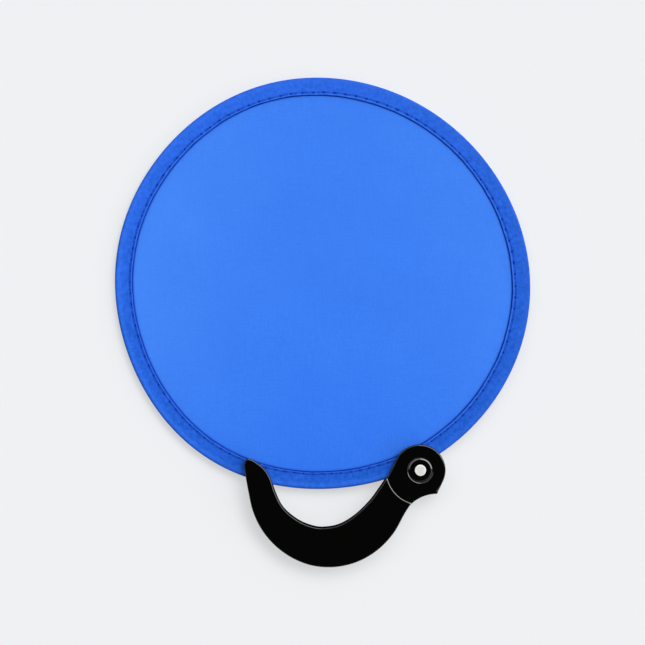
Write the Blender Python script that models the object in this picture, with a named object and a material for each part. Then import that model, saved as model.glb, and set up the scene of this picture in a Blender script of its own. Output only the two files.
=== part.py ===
"""Round twist-fold hand fan, open, lying face up with its crescent handle clipped over the rim.

A cloth panel is sewn into a binding that holds a flat spring steel hoop. A two-piece hub grips the
rim, and the two shells of the handle turn on the hub's spigots. Metres, +Z up, the fan's face is +Z.
"""

import math

import bmesh
import bpy
from mathutils import Matrix, Vector

# Disc: the rim is nearly round, with a few shallow lobes, each (count, share of the radius, degrees)
RIM_RADIUS = 0.1223
RIM_LOBE_SHARES = ((2, 0.0047, -46), (3, 0.0062, -31), (4, 0.0016, -98), (5, 0.0020, 107), (6, 0.0014, -28))
RIM_STEPS = 96

# Cloth
PANEL_THICKNESS = 0.00025
PANEL_EDGE_INSET = 0.004
TAPE_THICKNESS = 0.00025
CLOTH_GAP = 0.0002
HEM_WIDTH = 0.0109
HEM_FOLD_CHAMFER = 0.0007
STITCH_INSET = 0.0019
SEAM_MARGIN = 0.0006
THREAD_WIDTH = 0.0004
THREAD_HEIGHT = 0.0002
THREAD_GAP = 0.00005

# Hoop of flat spring steel, standing on edge, and the ferrule that joins its ends
HOOP_THICKNESS = 0.0005
HOOP_WIDTH = 0.0014
HOOP_INSET = 0.0013
HOOP_END_GAP = 0.0006
FERRULE_LENGTH = 0.009
FERRULE_WALL = 0.0002
FERRULE_GAP = 0.0001
POCKET_GAP = 0.0002
FERRULE_FROM_HUB_DEGREES = 34

# Pivot: its direction from the disc's centre, and how far outside of the rim it lies
PIVOT_DEGREES = -62.05
PIVOT_OUTSET = 0.0024

# Hub
HUB_RADIUS = 0.012
HUB_FLANGE = 0.00075
HUB_GRIP_GAP = 0.00025
HUB_RIM_GAP = 0.0003
SPIGOT_RADIUS = 0.00705
SPIGOT_CLEARANCE = 0.00025
SPIGOT_SINK = 0.00005
SPIGOT_CHAMFER = 0.0003
PIN_RADIUS = 0.0006
PIN_CLEARANCE = 0.0003
PIN_INSET = 0.0054
PIN_EDGE_MARGIN = 0.0022
PARTING_GAP = 0.0002

# Rivet
SHANK_RADIUS = 0.0014
SHANK_CLEARANCE = 0.0002
RIVET_HEAD_RADIUS = 0.0033
RIVET_HEAD_HEIGHT = 0.0006
RIVET_EDGE = 0.0002
BURR_RADIUS = 0.0032
BURR_THICKNESS = 0.0005
BURR_RECESS_CLEARANCE = 0.0003
TAIL_RADIUS = 0.0026
TAIL_HEIGHT = 0.0004
SEAT_GAP = 0.0001

# Handle shells
HEAD_RADIUS = 0.0148
HEAD_SPREAD = 0.0009
HEAD_PLAY = 0.00035
SHELL_WALL = 0.0018
STEP_OUTSET = 0.0049
STEP_HEIGHT = 0.0007
STEP_SLOPE = 0.0012
INNER_STEP_LAP = 0.0018
EDGE_CHAMFER = 0.0005
FLANK_OUTSET = 0.0017
NIB_OUTSET = 0.0022
NIB_DEGREES = -54.6
NECK_RADIUS = 0.0224
BOSS_RADIUS = 0.0024
BOSS_INSET = 0.0026
PEG_RADIUS = 0.0011
PEG_LENGTH = 0.002
SOCKET_CLEARANCE = 0.0003
WALL_RIM_GAP = 0.0005
HANDLE_SWING_DEGREES = 90

# Crescent, seen from the front with the pivot at zero: reach to the left, and drop below the pivot
CRESCENT_REACH = 0.1037
CRESCENT_DROP = 0.0569

# Inner edge from the head to the tip, as shares of the reach and of the drop
INNER_EDGE_SHARES = (
    (0.196, -0.089),
    (0.243, -0.215),
    (0.290, -0.328),
    (0.364, -0.461),
    (0.445, -0.556),
    (0.538, -0.600),
    (0.602, -0.589),
    (0.696, -0.520),
    (0.780, -0.392),
    (0.822, -0.229),
    (0.851, -0.084),
    (0.884, 0.016),
    (0.935, 0.091),
)
TIP_SHARES = ((0.959, 0.112), (0.978, 0.122), (0.994, 0.108), (1.0, 0.060))

# Outer edge from the tip to the neck
OUTER_EDGE_SHARES = (
    (0.994, -0.040),
    (0.978, -0.205),
    (0.951, -0.422),
    (0.898, -0.621),
    (0.818, -0.789),
    (0.716, -0.916),
    (0.600, -0.989),
    (0.474, -0.997),
    (0.352, -0.941),
    (0.242, -0.822),
    (0.153, -0.652),
    (0.089, -0.446),
    (0.058, -0.360),
)
BOSS_SHARES = (0.26, 0.54, 0.82)

# Facets
OUTLINE_STEP = 0.0032
WALL_TRIES = 4
HEAD_STEPS = 64
HUB_STEPS = 64
SMALL_STEPS = 24
FERRULE_STEPS = 4
CUT_OVERRUN = 0.002
EDGE_OVERRUN = 0.0003
ROUND_SHADE_DEGREES = 30

# Radii in the head that follow its size
NIB_REACH = HEAD_RADIUS + NIB_OUTSET
FLANK_REACH = HEAD_RADIUS + HEAD_SPREAD + FLANK_OUTSET
STEP_RADIUS = HEAD_RADIUS + STEP_OUTSET

# Heights above the disc's middle plane
HEM_HALF = HOOP_WIDTH / 2 + FERRULE_GAP + FERRULE_WALL + POCKET_GAP + TAPE_THICKNESS
FLAP_HALF = PANEL_THICKNESS / 2 + CLOTH_GAP + TAPE_THICKNESS
HUB_INNER = HEM_HALF + HUB_GRIP_GAP
HUB_HALF = HUB_INNER + HUB_FLANGE
HEAD_INNER = HUB_HALF + HEAD_PLAY
HEAD_HALF = HEAD_INNER + SHELL_WALL
CRESCENT_INNER = HEAD_INNER + STEP_HEIGHT
CRESCENT_HALF = HEAD_HALF + STEP_HEIGHT
SPIGOT_HALF = HEAD_HALF - SPIGOT_SINK
PARTING_HALF = PARTING_GAP / 2

# Colours (linear), roughness, metallic
BLUE_CLOTH = ((0.05, 0.21, 0.90), 0.8, 0.0)
BLUE_TAPE = ((0.02, 0.12, 0.67), 0.85, 0.0)
BLUE_THREAD = ((0.03, 0.15, 0.75), 0.7, 0.0)
SPRING_STEEL = ((0.55, 0.55, 0.56), 0.35, 1.0)
BLACK_PLASTIC = ((0.004, 0.004, 0.004), 0.3, 0.0)
NICKEL = ((0.80, 0.79, 0.76), 0.3, 1.0)


def clear_scene():
    for obj in list(bpy.data.objects):
        bpy.data.objects.remove(obj)


def material(name, finish):
    colour, roughness, metallic = finish
    made = bpy.data.materials.get(name) or bpy.data.materials.new(name)
    made.use_nodes = True
    shader = made.node_tree.nodes["Principled BSDF"]
    shader.inputs["Base Color"].default_value = (*colour, 1.0)
    shader.inputs["Roughness"].default_value = roughness
    shader.inputs["Metallic"].default_value = metallic
    return made


def polar(distance, degrees):
    angle = math.radians(degrees)
    return Vector((distance * math.cos(angle), distance * math.sin(angle), 0))


def rim_radius(angle):
    lobes = sum(
        share * math.cos(count * angle - math.radians(phase))
        for count, share, phase in RIM_LOBE_SHARES
    )
    return RIM_RADIUS * (1 + lobes)


def rim_point(angle, inset, height):
    radius = rim_radius(angle) - inset
    return Vector((radius * math.cos(angle), radius * math.sin(angle), height))


def pivot_distance():
    return rim_radius(math.radians(PIVOT_DEGREES)) + PIVOT_OUTSET


def fan_centre():
    """Middle of the fan's outline, from the disc's centre."""
    top = rim_radius(math.pi / 2)
    bottom = polar(pivot_distance(), PIVOT_DEGREES).y - CRESCENT_DROP
    return Vector((0, (top + bottom) / 2, 0))


def disc_tilt():
    """Angle at which the disc hangs from the pivot, until its far rim lies on the table."""
    far_angle = math.radians(PIVOT_DEGREES) + math.pi
    flat_inset = HEM_FOLD_CHAMFER
    reach = pivot_distance() + rim_radius(far_angle) - flat_inset
    return math.asin(CRESCENT_HALF / math.hypot(reach, HEM_HALF)) - math.atan2(HEM_HALF, reach)


def empty(name, parent=None, location=(0, 0, 0)):
    made = bpy.data.objects.new(name, None)
    bpy.context.scene.collection.objects.link(made)
    made.parent = parent
    made.location = location
    return made


def solid(name, points, faces, parent, finish=None):
    """A closed mesh object, faces turned outwards."""
    mesh = bpy.data.meshes.new(name)
    work = bmesh.new()
    corners = [work.verts.new(point) for point in points]
    for face in faces:
        work.faces.new([corners[i] for i in face])
    bmesh.ops.recalc_face_normals(work, faces=work.faces)
    work.to_mesh(mesh)
    work.free()
    mesh.shade_smooth()
    mesh.set_sharp_from_angle(angle=math.radians(ROUND_SHADE_DEGREES))
    made = bpy.data.objects.new(name, mesh)
    bpy.context.scene.collection.objects.link(made)
    made.parent = parent
    if finish:
        mesh.materials.append(material(*finish))
    return made


def stacked(name, rings, parent, finish=None, closed=False):
    """Joins rings of equally many points. A closed stack is a tube in itself, an open one gets two caps."""
    count = len(rings[0])
    points = [point for ring in rings for point in ring]
    faces = []
    pairs = len(rings) if closed else len(rings) - 1
    for level in range(pairs):
        below = level * count
        above = (level + 1) % len(rings) * count
        for i in range(count):
            j = (i + 1) % count
            faces.append((below + i, below + j, above + j, above + i))
    if not closed:
        last = (len(rings) - 1) * count
        faces.append(tuple(range(count)))
        faces.append(tuple(range(last, last + count)))
    return solid(name, points, faces, parent, finish)


def circle(radius, height, steps, centre=(0, 0)):
    ring = []
    for i in range(steps):
        angle = 2 * math.pi * i / steps
        x = centre[0] + radius * math.cos(angle)
        y = centre[1] + radius * math.sin(angle)
        ring.append(Vector((x, y, height)))
    return ring


def turned(name, profile, parent, finish=None, steps=HUB_STEPS, centre=(0, 0), bored=False):
    """A profile of (radius, height) turned about Z. A bored one closes on itself round its hole."""
    rings = [circle(radius, height, steps, centre) for radius, height in profile]
    return stacked(name, rings, parent, finish, closed=bored)


def swept(name, section, parent, finish, start=0.0, turn=2 * math.pi, steps=RIM_STEPS):
    """A section of (inset, height) led along the rim."""
    whole = math.isclose(turn, 2 * math.pi)
    stations = steps if whole else steps + 1
    rings = []
    for i in range(stations):
        angle = start + turn * i / steps
        rings.append([rim_point(angle, inset, height) for inset, height in section])
    return stacked(name, rings, parent, finish, closed=whole)


def helper(obj):
    obj.hide_render = True
    obj.display_type = "WIRE"
    return obj


def combine(target, other, operation):
    modifier = target.modifiers.new(operation.lower(), "BOOLEAN")
    modifier.operation = operation
    modifier.solver = "EXACT"
    modifier.object = helper(other)
    return target


def mirrored_pairs(upper):
    """The upper half of a section, followed by its mirror image below."""
    return list(upper) + [(inset, -height) for inset, height in reversed(upper)]


def smooth_curve(knots, step):
    """Points about one step apart on a Catmull-Rom curve through the knots."""
    padded = [2 * knots[0] - knots[1], *knots, 2 * knots[-1] - knots[-2]]
    points = [knots[0]]
    for a, b, c, d in zip(padded, padded[1:], padded[2:], padded[3:]):
        count = max(1, math.ceil((c - b).length / step))
        for i in range(1, count + 1):
            t = i / count
            points.append(
                0.5
                * (
                    2 * b
                    + (c - a) * t
                    + (2 * a - 5 * b + 4 * c - d) * t**2
                    + (3 * b - a - 3 * c + d) * t**3
                )
            )
    return points


def arc_between(start, end, radius, step):
    """Points after start up to end, on an arc whose centre lies to the right of the way."""
    chord = end - start
    across = Vector((chord.y, -chord.x, 0)).normalized()
    sagging = math.sqrt(max(radius**2 - (chord.length / 2) ** 2, 0))
    centre = (start + end) / 2 + across * sagging
    half = math.asin(min(chord.length / 2 / radius, 1))
    count = max(2, math.ceil(2 * half * radius / step))
    spoke = start - centre
    return [
        centre + Matrix.Rotation(-2 * half * i / count, 3, "Z") @ spoke for i in range(1, count + 1)
    ]


def in_sizes(shares):
    return [Vector((-along * CRESCENT_REACH, up * CRESCENT_DROP, 0)) for along, up in shares]


def flank():
    """Where the inner edge leaves the head, left of the pivot."""
    return Vector((-FLANK_REACH, 0, 0))


def outer_side():
    """The handle's outer side, from the tip round the crescent and the neck to the nib."""
    crescent = smooth_curve(in_sizes(TIP_SHARES[-1:] + OUTER_EDGE_SHARES), OUTLINE_STEP)
    nib = polar(NIB_REACH, NIB_DEGREES)
    return crescent + arc_between(crescent[-1], nib, NECK_RADIUS, OUTLINE_STEP)


def head_arc():
    """The head's edge, from where the nib's straight side touches it, and a little wider at the inner edge."""
    start = math.radians(NIB_DEGREES) + math.acos(min(HEAD_RADIUS / NIB_REACH, 1))
    widest = HEAD_RADIUS + HEAD_SPREAD
    end = math.pi - math.acos(min(widest / FLANK_REACH, 1))
    count = math.ceil(HEAD_RADIUS * (end - start) / OUTLINE_STEP)
    points = []
    for i in range(count + 1):
        share = i / count
        radius = HEAD_RADIUS + HEAD_SPREAD * share**2
        points.append(polar(radius, math.degrees(start + (end - start) * share)))
    return points


def handle_outline():
    """Closed outline, counterclockwise, with the pivot at zero."""
    inner = smooth_curve([flank()] + in_sizes(INNER_EDGE_SHARES + TIP_SHARES), OUTLINE_STEP)
    return head_arc() + inner + outer_side()[1:]


def inset_line(points, distance, closed=False):
    """The points moved to the left of their way by a distance, with mitred corners."""
    moved = []
    count = len(points)
    for i, point in enumerate(points):
        before = points[i - 1] if closed or i else None
        after = points[(i + 1) % count] if closed or i < count - 1 else None
        ways = []
        if before is not None:
            ways.append((point - before).normalized())
        if after is not None:
            ways.append((after - point).normalized())
        normals = [Vector((-way.y, way.x, 0)) for way in ways]
        middle = sum(normals, Vector()).normalized()
        moved.append(point + middle * distance / middle.dot(normals[0]))
    return moved


def raised(points, height):
    return [Vector((point.x, point.y, height)) for point in points]


def prism(name, outline, low, high, side, parent, finish=None):
    """The outline raised from low to high, on the front (side 1) or the rear (side -1)."""
    return stacked(name, [raised(outline, side * low), raised(outline, side * high)], parent, finish)


def with_crossings(outline, radius):
    """The closed outline, with a point wherever it crosses a circle about the pivot."""
    points = []
    for a, b in zip(outline, outline[1:] + outline[:1]):
        points.append(a)
        if (a.length - radius) * (b.length - radius) < 0:
            way = b - a
            middle = -a.dot(way) / way.length_squared
            spread = math.sqrt(max(radius**2 - (a + way * middle).length_squared, 0)) / way.length
            points += [a + way * t for t in (middle - spread, middle + spread) if 0 < t < 1]
    return points


def shell_top(point):
    """Height of a shell's face: low in the head, then up a slope to the crescent."""
    climb = (point.length - STEP_RADIUS) / STEP_SLOPE
    return HEAD_HALF + STEP_HEIGHT * min(max(climb, 0), 1)


def edge_cutter(name, outline, side, parent):
    """Cuts the chamfer that runs all round a shell's face."""
    line = with_crossings(with_crossings(outline, STEP_RADIUS), STEP_RADIUS + STEP_SLOPE)
    tops = [shell_top(point) for point in line]
    grown = inset_line(line, -EDGE_OVERRUN, closed=True)
    shrunk = inset_line(line, EDGE_CHAMFER + EDGE_OVERRUN, closed=True)
    low = [p + Vector((0, 0, side * (top - EDGE_CHAMFER - EDGE_OVERRUN))) for p, top in zip(grown, tops)]
    inner = [p + Vector((0, 0, side * (top + EDGE_OVERRUN))) for p, top in zip(shrunk, tops)]
    outer = [p + Vector((0, 0, side * (top + EDGE_OVERRUN))) for p, top in zip(grown, tops)]
    return stacked(name, [low, inner, outer], parent, closed=True)


def disc_centre_from_pivot(swing_degrees):
    """Where the disc's centre lies as the handle sees it, after the handle has swung."""
    return -polar(pivot_distance(), PIVOT_DEGREES - swing_degrees)


def clear_of_rim(point):
    """Whether a point of the handle keeps the named gap to the rim at both ends of the swing."""
    for swing in (0, HANDLE_SWING_DEGREES):
        spoke = point - disc_centre_from_pivot(swing)
        angle = math.atan2(spoke.y, spoke.x) + math.radians(swing)
        if spoke.length < rim_radius(angle) + WALL_RIM_GAP:
            return False
    return True


def wall_inner_side():
    """Inner side of the wall that joins the shells, as far as the rim leaves room for it."""
    line = inset_line(outer_side(), SHELL_WALL)
    fine = smooth_curve(line, OUTLINE_STEP / WALL_TRIES)
    kept = [point for point in fine if clear_of_rim(point)]
    return kept[:-1:WALL_TRIES] + kept[-1:]


def slot_outline():
    """What is hollow between the shells: inside of the wall, and open past the inner edge, tip and head."""
    inner = wall_inner_side()
    first = (inner[1] - inner[0]).normalized()
    last = (inner[-1] - inner[-2]).normalized()
    across = SHELL_WALL + CUT_OVERRUN
    way_in = inner[0] - Vector((-first.y, first.x, 0)) * across
    way_out = inner[-1] - Vector((-last.y, last.x, 0)) * across
    left = -CRESCENT_REACH - CUT_OVERRUN - SHELL_WALL
    right = NIB_REACH + CUT_OVERRUN
    top = HEAD_RADIUS + HEAD_SPREAD + CUT_OVERRUN
    corners = [
        Vector((right, way_out.y, 0)),
        Vector((right, top, 0)),
        Vector((left, top, 0)),
        Vector((left, way_in.y, 0)),
    ]
    return inner + [way_out] + corners + [way_in]


def along(points, share):
    """The point and the way at a share of a line's length."""
    lengths = [(b - a).length for a, b in zip(points, points[1:])]
    left = share * sum(lengths)
    for a, b, length in zip(points, points[1:], lengths):
        if left <= length:
            return a.lerp(b, left / length), (b - a).normalized()
        left -= length
    return points[-1], (points[-1] - points[-2]).normalized()


def boss_centres():
    centres = []
    for share in BOSS_SHARES:
        point, way = along(outer_side(), share)
        centres.append(point + Vector((-way.y, way.x, 0)) * BOSS_INSET)
    return centres


def pillar(name, centre, radius, low, high, parent):
    profile = ((radius, low), (radius, high))
    return turned(name, profile, parent, steps=SMALL_STEPS, centre=(centre.x, centre.y))


def shell(name, side, hinge):
    """One shell of the handle: plate, step at the head, outer wall, bosses, and pegs or sockets."""
    outline = handle_outline()
    body = prism(name, outline, PARTING_HALF, CRESCENT_HALF, side, hinge, ("black_plastic", BLACK_PLASTIC))

    # The hollow follows the step, and leaves the bosses standing
    hollow = prism(name + "_hollow", slot_outline(), -CUT_OVERRUN, CRESCENT_INNER, side, hinge)
    reach = STEP_RADIUS + INNER_STEP_LAP
    roof_profile = ((reach, side * HEAD_INNER), (reach, side * (CRESCENT_INNER + CUT_OVERRUN)))
    combine(hollow, turned(name + "_roof", roof_profile, hinge, steps=HEAD_STEPS), "DIFFERENCE")
    for number, centre in enumerate(boss_centres(), 1):
        boss = f"{name}_boss_{number}"
        low = -side * 2 * CUT_OVERRUN
        high = side * (CRESCENT_INNER + CUT_OVERRUN)
        combine(hollow, pillar(boss, centre, BOSS_RADIUS, low, high, hinge), "DIFFERENCE")
    combine(body, hollow, "DIFFERENCE")

    for number, centre in enumerate(boss_centres(), 1):
        if side > 0:
            peg = f"{name}_peg_{number}"
            combine(body, pillar(peg, centre, PEG_RADIUS, -PEG_LENGTH, HEAD_INNER, hinge), "UNION")
        else:
            socket = f"{name}_socket_{number}"
            radius = PEG_RADIUS + SOCKET_CLEARANCE
            depth = PEG_LENGTH + SOCKET_CLEARANCE
            combine(body, pillar(socket, centre, radius, CUT_OVERRUN, -depth, hinge), "DIFFERENCE")

    bore = SPIGOT_RADIUS + SPIGOT_CLEARANCE
    bore_profile = ((bore, 0), (bore, side * (CRESCENT_HALF + CUT_OVERRUN)))
    combine(body, turned(name + "_bore", bore_profile, hinge), "DIFFERENCE")

    # The head lies lower than the crescent, behind a sloping step
    relief_profile = (
        (STEP_RADIUS, side * HEAD_HALF),
        (STEP_RADIUS + STEP_SLOPE, side * CRESCENT_HALF),
        (STEP_RADIUS + STEP_SLOPE, side * (CRESCENT_HALF + CUT_OVERRUN)),
    )
    combine(body, turned(name + "_relief", relief_profile, hinge, steps=HEAD_STEPS), "DIFFERENCE")
    combine(body, edge_cutter(name + "_edge", outline, side, hinge), "DIFFERENCE")
    return body


def panel(disc):
    edge = [rim_point(2 * math.pi * i / RIM_STEPS, PANEL_EDGE_INSET, 0) for i in range(RIM_STEPS)]
    half = PANEL_THICKNESS / 2
    rings = [raised(edge, -half), raised(edge, half)]
    return stacked("fabric_panel", rings, disc, ("blue_cloth", BLUE_CLOTH))


def binding(disc):
    """Tape folded over the hoop, and drawn straight from there to the seam that holds the panel's edge."""
    pocket_end = HOOP_INSET + HOOP_THICKNESS + FERRULE_GAP + FERRULE_WALL + POCKET_GAP
    seam = HEM_WIDTH - STITCH_INSET - THREAD_WIDTH / 2 - SEAM_MARGIN
    outer = (
        (HEM_WIDTH, FLAP_HALF),
        (seam, FLAP_HALF),
        (pocket_end + TAPE_THICKNESS / 2, HEM_HALF),
        (HEM_FOLD_CHAMFER, HEM_HALF),
        (0, HEM_HALF - HEM_FOLD_CHAMFER),
    )
    inside = (
        (HEM_WIDTH, FLAP_HALF - TAPE_THICKNESS),
        (seam, FLAP_HALF - TAPE_THICKNESS),
        (pocket_end, HEM_HALF - TAPE_THICKNESS),
        (HEM_FOLD_CHAMFER + TAPE_THICKNESS / 2, HEM_HALF - TAPE_THICKNESS),
        (TAPE_THICKNESS, HEM_HALF - HEM_FOLD_CHAMFER - TAPE_THICKNESS / 2),
    )
    section = mirrored_pairs(outer)
    section += [(inset, -height) for inset, height in inside]
    section += [(inset, height) for inset, height in reversed(inside)]
    return swept("rim_binding", section, disc, ("blue_tape", BLUE_TAPE))


def thread(name, side, disc):
    low = side * (FLAP_HALF + THREAD_GAP)
    high = side * (FLAP_HALF + THREAD_GAP + THREAD_HEIGHT)
    inner = HEM_WIDTH - STITCH_INSET + THREAD_WIDTH / 2
    outer = HEM_WIDTH - STITCH_INSET - THREAD_WIDTH / 2
    section = ((inner, low), (outer, low), (outer, high), (inner, high))
    return swept(name, section, disc, ("blue_thread", BLUE_THREAD))


def hoop_joint_angle():
    return math.radians(PIVOT_DEGREES + FERRULE_FROM_HUB_DEGREES)


def hoop(disc):
    half = HOOP_WIDTH / 2
    inner = HOOP_INSET + HOOP_THICKNESS
    section = ((inner, -half), (HOOP_INSET, -half), (HOOP_INSET, half), (inner, half))
    opening = HOOP_END_GAP / RIM_RADIUS
    start = hoop_joint_angle() + opening / 2
    return swept("spring_hoop", section, disc, ("spring_steel", SPRING_STEEL), start, 2 * math.pi - opening)


def ferrule(disc):
    """A flattened tube round the hoop's two ends."""
    turn = FERRULE_LENGTH / RIM_RADIUS
    start = hoop_joint_angle() - turn / 2
    sections = []
    for grown in (FERRULE_GAP + FERRULE_WALL, FERRULE_GAP):
        low = HOOP_INSET - grown
        high = HOOP_INSET + HOOP_THICKNESS + grown
        half = HOOP_WIDTH / 2 + grown
        sections.append(((high, -half), (low, -half), (low, half), (high, half)))
    stations = [start + turn * i / FERRULE_STEPS for i in range(FERRULE_STEPS + 1)]
    outside = [[rim_point(angle, *corner) for corner in sections[0]] for angle in stations]
    inside = [[rim_point(angle, *corner) for corner in sections[1]] for angle in reversed(stations)]
    return stacked("hoop_ferrule", outside + inside, disc, ("spring_steel", SPRING_STEEL), closed=True)


def pin_centres():
    """The hub's two pins, from the pivot, on either side of the way to the disc's centre."""
    inwards = PIVOT_OUTSET + PIN_INSET
    reach = HUB_RADIUS - PIN_EDGE_MARGIN
    sideways = math.sqrt(max(reach**2 - inwards**2, PIN_RADIUS**2))
    middle = polar(inwards, PIVOT_DEGREES + 180)
    spread = polar(sideways, PIVOT_DEGREES + 90)
    return [middle - spread, middle + spread]


def pierce(target, pivot):
    """Holes in the cloth for the hub's pins."""
    for number, centre in enumerate(pin_centres(), 1):
        name = f"{target.name}_pin_hole_{number}"
        hole = pillar(name, centre, PIN_RADIUS + PIN_CLEARANCE, -HUB_HALF, HUB_HALF, pivot)
        combine(target, hole, "DIFFERENCE")


def hub_half(name, side, pivot):
    """Flange over the rim, shoulder outside of it, and the spigot that a shell turns on."""
    profile = (
        (HUB_RADIUS, side * PARTING_HALF),
        (HUB_RADIUS, side * HUB_HALF),
        (SPIGOT_RADIUS, side * HUB_HALF),
        (SPIGOT_RADIUS, side * (SPIGOT_HALF - SPIGOT_CHAMFER)),
        (SPIGOT_RADIUS - SPIGOT_CHAMFER, side * SPIGOT_HALF),
    )
    body = turned(name, profile, pivot, ("black_plastic", BLACK_PLASTIC))

    # The mouth that the rim lies in
    to_pivot = polar(pivot_distance(), PIVOT_DEGREES)
    stations = [2 * math.pi * i / RIM_STEPS for i in range(RIM_STEPS)]
    rim = [rim_point(angle, -HUB_RIM_GAP, 0) - to_pivot for angle in stations]
    combine(body, prism(name + "_mouth", rim, -CUT_OVERRUN, HUB_INNER, side, pivot), "DIFFERENCE")

    for number, centre in enumerate(pin_centres(), 1):
        if side > 0:
            low = -HUB_HALF + PIN_CLEARANCE
            high = HUB_INNER + HUB_FLANGE / 2
            pin = pillar(f"{name}_pin_{number}", centre, PIN_RADIUS, low, high, pivot)
            combine(body, pin, "UNION")
        else:
            radius = PIN_RADIUS + PIN_CLEARANCE
            depth = HUB_HALF + CUT_OVERRUN
            hole = pillar(f"{name}_pin_hole_{number}", centre, radius, 0, -depth, pivot)
            combine(body, hole, "DIFFERENCE")

    centre = Vector()
    depth = side * (HEAD_HALF + CUT_OVERRUN)
    bore = pillar(name + "_bore", centre, SHANK_RADIUS + SHANK_CLEARANCE, -side * CUT_OVERRUN, depth, pivot)
    combine(body, bore, "DIFFERENCE")
    if side < 0:
        radius = BURR_RADIUS + BURR_RECESS_CLEARANCE
        recess = pillar(name + "_recess", centre, radius, -burr_seat(), depth, pivot)
        combine(body, recess, "DIFFERENCE")
    return body


def burr_seat():
    """Depth behind the middle plane of the rear recess's floor, so that the tail stays inside it."""
    return SPIGOT_HALF - BURR_THICKNESS - TAIL_HEIGHT - 2 * SEAT_GAP


def rivet(pivot):
    seat = SPIGOT_HALF + SEAT_GAP
    tail_top = -burr_seat() - BURR_THICKNESS - 2 * SEAT_GAP
    profile = (
        (RIVET_HEAD_RADIUS - RIVET_EDGE, seat + RIVET_HEAD_HEIGHT),
        (RIVET_HEAD_RADIUS, seat + RIVET_HEAD_HEIGHT - RIVET_EDGE),
        (RIVET_HEAD_RADIUS, seat),
        (SHANK_RADIUS, seat),
        (SHANK_RADIUS, tail_top),
        (TAIL_RADIUS, tail_top),
        (TAIL_RADIUS - RIVET_EDGE, tail_top - TAIL_HEIGHT),
    )
    return turned("rivet", profile, pivot, ("nickel", NICKEL), steps=SMALL_STEPS * 2)


def rivet_burr(pivot):
    top = -burr_seat() - SEAT_GAP
    bottom = top - BURR_THICKNESS
    hole = SHANK_RADIUS + SHANK_CLEARANCE
    profile = ((BURR_RADIUS, top), (BURR_RADIUS, bottom), (hole, bottom), (hole, top))
    return turned("rivet_burr", profile, pivot, ("nickel", NICKEL), steps=SMALL_STEPS * 2, bored=True)


def build():
    clear_scene()
    fan = empty("fan", location=-fan_centre())
    pivot_place = polar(pivot_distance(), PIVOT_DEGREES) + Vector((0, 0, CRESCENT_HALF))
    hinge = empty("handle_hinge", fan, pivot_place)

    # The disc, its hub and its rivet hang a little from the hinge, in the joint's play
    pivot = empty("disc_pivot", fan, pivot_place)
    axis = Vector((0, 0, 1)).cross(-polar(pivot_distance(), PIVOT_DEGREES)).normalized()
    pivot.rotation_mode = "QUATERNION"
    pivot.rotation_quaternion = Matrix.Rotation(disc_tilt(), 3, axis).to_quaternion()
    disc = empty("disc_centre", pivot, -polar(pivot_distance(), PIVOT_DEGREES))

    pierce(panel(disc), pivot)
    pierce(binding(disc), pivot)
    hoop(disc)
    ferrule(disc)
    thread("needle_thread", 1, disc)
    thread("bobbin_thread", -1, disc)
    hub_half("hub_front", 1, pivot)
    hub_half("hub_rear", -1, pivot)
    rivet(pivot)
    rivet_burr(pivot)
    shell("handle_front_shell", 1, hinge)
    shell("handle_rear_shell", -1, hinge)


build()
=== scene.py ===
"""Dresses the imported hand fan: sewn cloth, moulded handle, hub and rivet, on a pale floor."""

import math

import bmesh
import bpy
import numpy as np
from mathutils import Matrix, Vector

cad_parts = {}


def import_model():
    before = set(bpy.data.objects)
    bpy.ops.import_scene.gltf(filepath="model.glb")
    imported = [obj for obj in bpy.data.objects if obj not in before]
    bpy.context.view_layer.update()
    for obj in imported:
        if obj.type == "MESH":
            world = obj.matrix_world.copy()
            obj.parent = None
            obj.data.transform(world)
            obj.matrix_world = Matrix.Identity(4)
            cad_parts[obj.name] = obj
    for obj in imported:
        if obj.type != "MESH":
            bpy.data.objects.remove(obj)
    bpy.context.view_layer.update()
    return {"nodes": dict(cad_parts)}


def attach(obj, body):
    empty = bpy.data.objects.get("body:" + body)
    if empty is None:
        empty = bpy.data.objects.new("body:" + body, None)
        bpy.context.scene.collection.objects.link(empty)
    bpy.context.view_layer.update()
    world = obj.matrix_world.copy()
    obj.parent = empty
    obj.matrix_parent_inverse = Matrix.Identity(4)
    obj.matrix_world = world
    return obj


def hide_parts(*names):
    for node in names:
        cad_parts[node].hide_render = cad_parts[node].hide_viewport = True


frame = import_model()

# Lengths are in metres, and where a name ends in MM in millimetres
MM = 0.001

# Disc: the rim is nearly round, with a few shallow lobes, each (count, share of the radius, degrees)
RIM_RADIUS = 0.1223
RIM_LOBE_SHARES = (
    (2, 0.0047, -46),
    (3, 0.0062, -31),
    (4, 0.0016, -98),
    (5, 0.0020, 107),
    (6, 0.0014, -28),
)
HEM_WIDTH = 10.9 * MM
HEM_HALF = 0.00145
HEM_FOLD_CHAMFER = 0.0007
PANEL_EDGE_INSET = 0.004
PANEL_HALF = 0.000125

# Pivot, hub and rivet, as in the solids
PIVOT_DEGREES = -62.05
PIVOT_OUTSET = 0.0024
HUB_RADIUS = 0.012
HUB_FLANGE = 0.00075
HUB_GRIP_GAP = 0.00025
HUB_RIM_GAP = 0.0003
SPIGOT_RADIUS = 0.00705
SPIGOT_CLEARANCE = 0.00025
SPIGOT_SINK = 0.00005
PARTING_HALF = 0.0001
SHANK_RADIUS = 0.0014
SHANK_CLEARANCE = 0.0002
RIVET_HEAD_RADIUS = 0.0033
RIVET_HEAD_HEIGHT = 0.0006
RIVET_LIP_WIDTH = 0.0005
RIVET_LIP_RISE = 0.00005
BURR_RADIUS = 0.0032
BURR_THICKNESS = 0.0005
BURR_RECESS_CLEARANCE = 0.0003
TAIL_RADIUS = 0.0026
TAIL_HEIGHT = 0.0004
SEAT_GAP = 0.0001

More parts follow.
